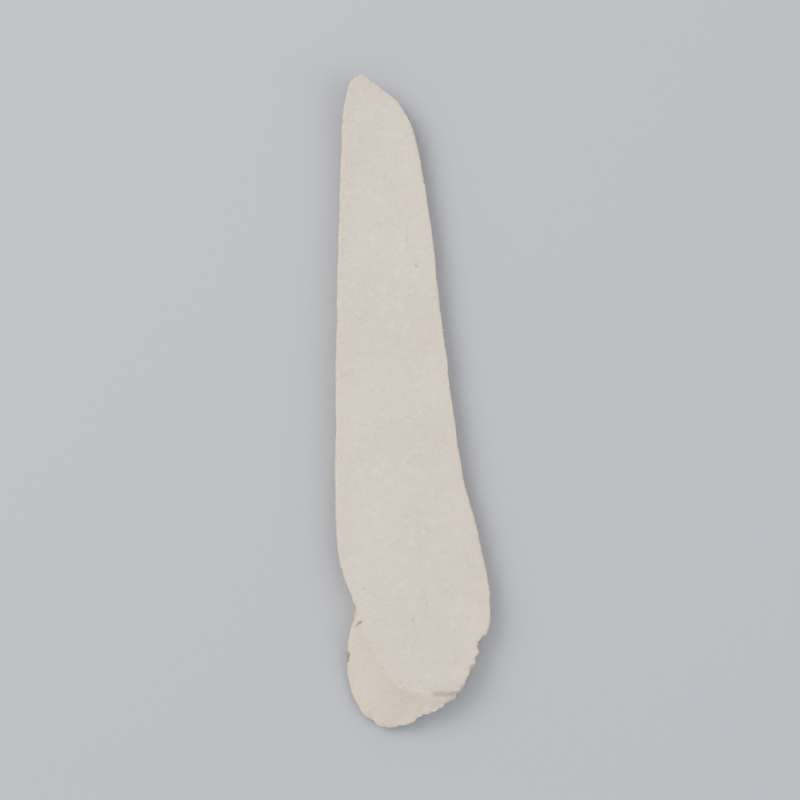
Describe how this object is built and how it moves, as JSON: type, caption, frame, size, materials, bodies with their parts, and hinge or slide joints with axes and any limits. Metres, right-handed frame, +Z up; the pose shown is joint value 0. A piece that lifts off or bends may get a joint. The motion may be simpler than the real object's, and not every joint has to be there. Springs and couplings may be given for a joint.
{
  "type": "dried chinese yam slice",
  "caption": "Thin, slightly bowed slice of dried yam root, cut on a long slant: broad at one end, tapering to a rounded tip, with a sloping outer wall round its rim.",
  "frame": {"origin": "under the middle of the slice's bounding box, in the plane it rests on", "axes": "X across the slice, +Y along it from the broad end to the narrow end, +Z up out of the cut face"},
  "size_m": [0.024, 0.105, 0.0047],
  "materials": {
    "yam_flesh": "matt, chalky dried starch, cream white"
  },
  "bodies": {
    "root": {"yam_slice": "yam_flesh"}
  },
  "joints": []
}
